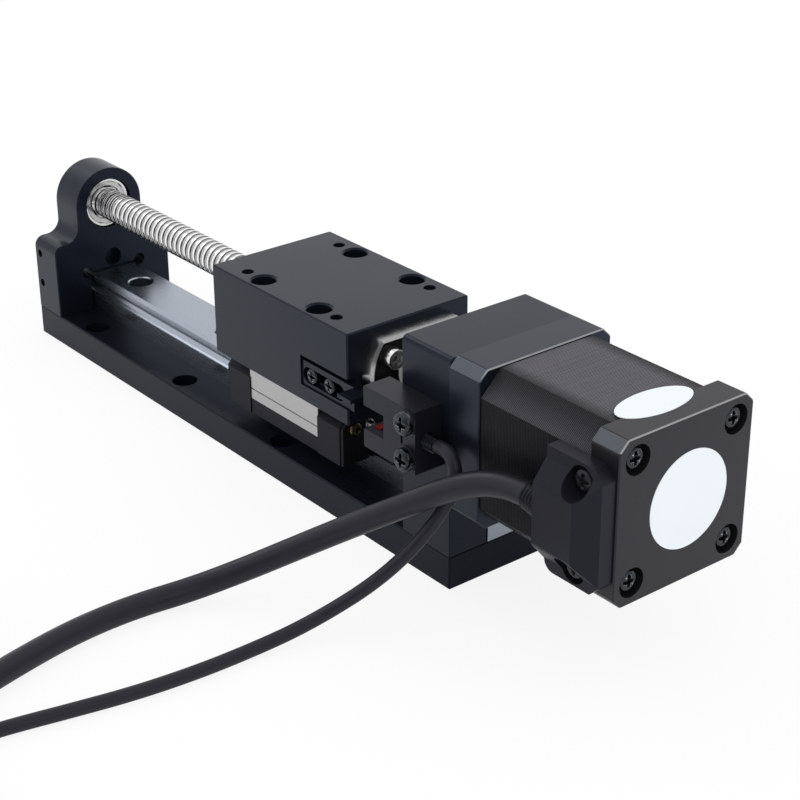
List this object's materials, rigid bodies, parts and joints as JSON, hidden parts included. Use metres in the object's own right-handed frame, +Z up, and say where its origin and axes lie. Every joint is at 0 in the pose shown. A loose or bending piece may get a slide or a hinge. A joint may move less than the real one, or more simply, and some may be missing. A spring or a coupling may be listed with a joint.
{
  "type": "ball screw linear actuator",
  "caption": "Compact linear actuator: a square stepping motor turns a ball screw that drives a carriage along a guide rail on a flat base.",
  "frame": {"origin": "centre of the base plate's underside", "axes": "+X along the screw towards the motor, +Z up, -Y the side with the slot sensor and the cables"},
  "size_m": [0.2621, 0.2302, 0.0643],
  "materials": {
    "black_anodised": "satin",
    "bare_aluminium": "satin",
    "rail_steel": "satin",
    "bearing_steel": "polished",
    "screw_steel": "polished",
    "black_screw_steel": "satin",
    "zinc_steel": "polished",
    "lamination_steel": "matte",
    "copper": "gloss",
    "magnet": "matte",
    "black_plastic": "matte",
    "sensor_plastic": "matte",
    "dark_lens": "gloss",
    "connector_plastic": "satin",
    "cable_sheath": "satin",
    "seal_rubber": "matte",
    "brass": "satin",
    "label_white": "satin"
  },
  "bodies": {
    "frame": {"base_plate": "black_anodised", "guide_rail": "rail_steel", "rail_screws": "black_screw_steel", "block_screws": "black_screw_steel", "end_bearing_block": "black_anodised", "end_bearing_outer_ring": "bearing_steel", "end_bearing_shields": "bearing_steel", "motor_mount": "black_anodised", "mount_to_motor_screws": "black_screw_steel", "bearing_retainer": "zinc_steel", "support_bearing_outer_rings": "bearing_steel", "support_bearing_shields": "bearing_steel", "motor_front_cap": "bare_aluminium", "motor_laminations": "lamination_steel", "motor_windings": "copper", "motor_rear_cover": "black_anodised", "motor_long_screws": "black_screw_steel", "motor_bearing_outer_rings": "bearing_steel", "motor_bearing_shields": "bearing_steel", "round_label": "label_white", "oval_label": "label_white", "cable_box": "black_plastic", "cable_box_screws": "black_screw_steel", "motor_cable_gland": "seal_rubber", "slot_sensor": "sensor_plastic", "sensor_windows": "dark_lens", "sensor_screws": "black_screw_steel", "sensor_washers": "black_screw_steel", "sensor_strain_relief": "seal_rubber", "motor_cable": "cable_sheath", "motor_cable_coil": "cable_sheath", "motor_plug": "connector_plastic", "sensor_cable": "cable_sheath", "sensor_cable_coil": "cable_sheath", "sensor_plug": "connector_plastic"},
    "carriage": {"carriage_block": "black_anodised", "ball_nut": "screw_steel", "nut_wipers": "connector_plastic", "nut_screws": "zinc_steel", "guide_block": "rail_steel", "guide_balls": "bearing_steel", "guide_side_strips": "black_plastic", "guide_end_caps": "black_plastic", "guide_end_seals": "seal_rubber", "guide_cap_screws": "zinc_steel", "guide_block_screws": "black_screw_steel", "grease_nipple": "brass", "sensor_flag": "black_screw_steel", "flag_screws": "black_screw_steel"},
    "screw": {"ball_screw": "screw_steel", "end_bearing_inner_ring": "bearing_steel", "end_circlip": "black_screw_steel", "support_bearing_inner_rings": "bearing_steel", "bearing_spacer": "zinc_steel", "clamp_nut": "zinc_steel", "clamp_screw": "black_screw_steel", "motor_shaft": "screw_steel", "motor_rotor_cups": "lamination_steel", "motor_rotor_magnet": "magnet", "motor_bearing_inner_rings": "bearing_steel"}
  },
  "joints": [
    {"name": "carriage_slide", "type": "slide", "parent": "frame", "child": "carriage", "axis": [1, 0, 0], "range_m": [-0.0875, 0.0125]},
    {"name": "screw_spin", "type": "hinge", "parent": "frame", "child": "screw", "pos_m": [0, 0, 0.043], "axis": [1, 0, 0], "range_deg": [-1801, 12601]}
  ],
  "couplings": [
    {"joint": "screw_spin", "follows": "carriage_slide", "rad_per_m": -2513.3}
  ]
}
